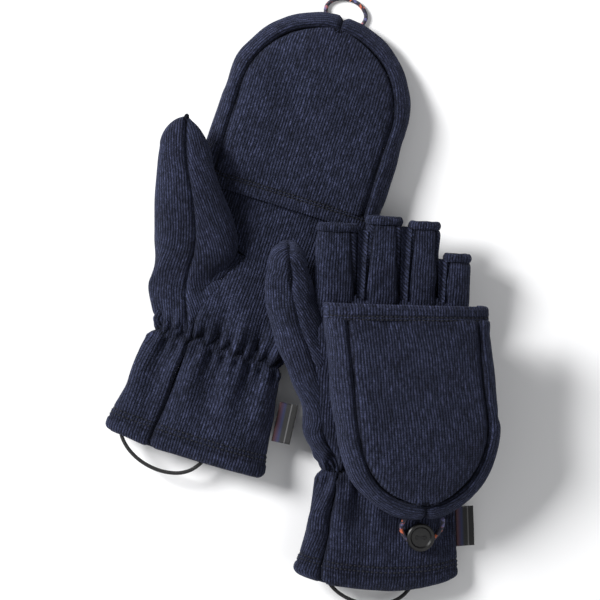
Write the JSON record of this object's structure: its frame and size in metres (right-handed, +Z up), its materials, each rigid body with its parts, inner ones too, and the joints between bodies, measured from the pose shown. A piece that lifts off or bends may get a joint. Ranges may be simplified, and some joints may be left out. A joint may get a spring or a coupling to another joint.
{
  "type": "convertible flip-top mittens",
  "caption": "Pair of sweater-fleece flip-top mittens: one with its cap closed over the cut-off fingers, one with its cap folded back and looped on a cuff button.",
  "frame": {"origin": "middle of the pair's footprint on the table, cord loops left out; z = 0 is the table", "axes": "+X across the pair, from the left mitten to the right one; +Y away from the cuffs, towards the fingertips; +Z up from the table"},
  "size_m": [0.2247, 0.3538, 0.0641],
  "materials": {
    "navy_fleece": "heathered sweater-knit fleece, matt and brushed",
    "black_elastic": "round woven elastic",
    "cap_cord": "round elastic cord, dark with orange flecks",
    "black_button": "satin",
    "black_thread": "sewing thread",
    "label_weave": "woven label"
  },
  "bodies": {
    "left_hand": {"left_back_panel": "navy_fleece", "left_palm_panel": "navy_fleece", "left_thumb_side_panel": "navy_fleece", "left_thumb_outer_panel": "navy_fleece", "left_thumb_inner_panel": "navy_fleece", "left_index_stall": "navy_fleece", "left_middle_stall": "navy_fleece", "left_ring_stall": "navy_fleece", "left_little_stall": "navy_fleece", "left_finger_hems": "navy_fleece", "left_fourchettes": "navy_fleece", "left_cuff_hem": "navy_fleece", "left_wrist_elastic": "black_elastic", "left_thread_shank": "black_thread"},
    "left_cap": {"left_cap_back_panel": "navy_fleece", "left_cap_palm_panel": "navy_fleece", "left_cap_thumb_rim": "navy_fleece", "left_cap_little_rim": "navy_fleece", "left_cap_hem": "navy_fleece", "left_cap_loop": "cap_cord"},
    "left_button": {"left_button": "black_button", "left_button_stitches": "black_thread"},
    "left_hang_loop": {"left_hang_loop": "black_elastic"},
    "left_label": {"left_label": "label_weave"},
    "right_hand": {"right_back_panel": "navy_fleece", "right_palm_panel": "navy_fleece", "right_thumb_side_panel": "navy_fleece", "right_thumb_outer_panel": "navy_fleece", "right_thumb_inner_panel": "navy_fleece", "right_index_stall": "navy_fleece", "right_middle_stall": "navy_fleece", "right_ring_stall": "navy_fleece", "right_little_stall": "navy_fleece", "right_finger_hems": "navy_fleece", "right_fourchettes": "navy_fleece", "right_cuff_hem": "navy_fleece", "right_wrist_elastic": "black_elastic", "right_thread_shank": "black_thread"},
    "right_cap": {"right_cap_back_panel": "navy_fleece", "right_cap_palm_panel": "navy_fleece", "right_cap_thumb_rim": "navy_fleece", "right_cap_little_rim": "navy_fleece", "right_cap_hem": "navy_fleece", "right_cap_loop": "cap_cord"},
    "right_button": {"right_button": "black_button", "right_button_stitches": "black_thread"},
    "right_hang_loop": {"right_hang_loop": "black_elastic"},
    "right_label": {"right_label": "label_weave"}
  },
  "joints": [
    {"name": "right_mitten_lift", "type": "slide", "parent": "left_hand", "child": "right_hand", "axis": [0, 0, 1], "range_m": [0, 0.15]},
    {"name": "left_cap_flip", "type": "hinge", "parent": "left_hand", "child": "left_cap", "pos_m": [-0.00867, 0.05472, -0.0003], "axis": [-0.9681, 0.2504, 0], "range_deg": [0, 178], "deforming": ["left_cap_palm_panel", "left_cap_thumb_rim", "left_cap_little_rim", "left_cap_hem", "left_cap_loop"]},
    {"name": "left_button_turn", "type": "hinge", "parent": "left_hand", "child": "left_button", "pos_m": [-0.0372, -0.06735, 0.0042], "axis": [0, 0, 1], "range_deg": [-45, 45]},
    {"name": "left_hang_loop_swing", "type": "hinge", "parent": "left_hand", "child": "left_hang_loop", "pos_m": [-0.07122, -0.08546, 0.0128], "axis": [-0.9537, 0.3007, 0], "range_deg": [0, 35]},
    {"name": "left_label_flap", "type": "hinge", "parent": "left_hand", "child": "left_label", "pos_m": [-0.01076, -0.0587, 0.0143], "axis": [0.2121, 0.9772, 0], "range_deg": [-45, 45]},
    {"name": "right_cap_flip", "type": "hinge", "parent": "right_hand", "child": "right_cap", "pos_m": [0.0561, -0.01042, 0.03752], "axis": [-0.9907, -0.009, 0.136], "range_deg": [0, 178], "deforming": ["right_cap_palm_panel", "right_cap_thumb_rim", "right_cap_little_rim", "right_cap_hem", "right_cap_loop"]},
    {"name": "right_button_turn", "type": "hinge", "parent": "right_hand", "child": "right_button", "pos_m": [0.0686, -0.13546, 0.02152], "axis": [0.1363, -0.0768, 0.9877], "range_deg": [-45, 45]},
    {"name": "right_hang_loop_swing", "type": "hinge", "parent": "right_hand", "child": "right_hang_loop", "pos_m": [0.04865, -0.16118, 0.00992], "axis": [-0.9892, 0.0432, 0.1399], "range_deg": [0, 35]},
    {"name": "right_label_flap", "type": "hinge", "parent": "right_hand", "child": "right_label", "pos_m": [0.09046, -0.11952, 0.00952], "axis": [-0.0374, 0.9959, 0.0826], "range_deg": [-45, 45]}
  ]
}
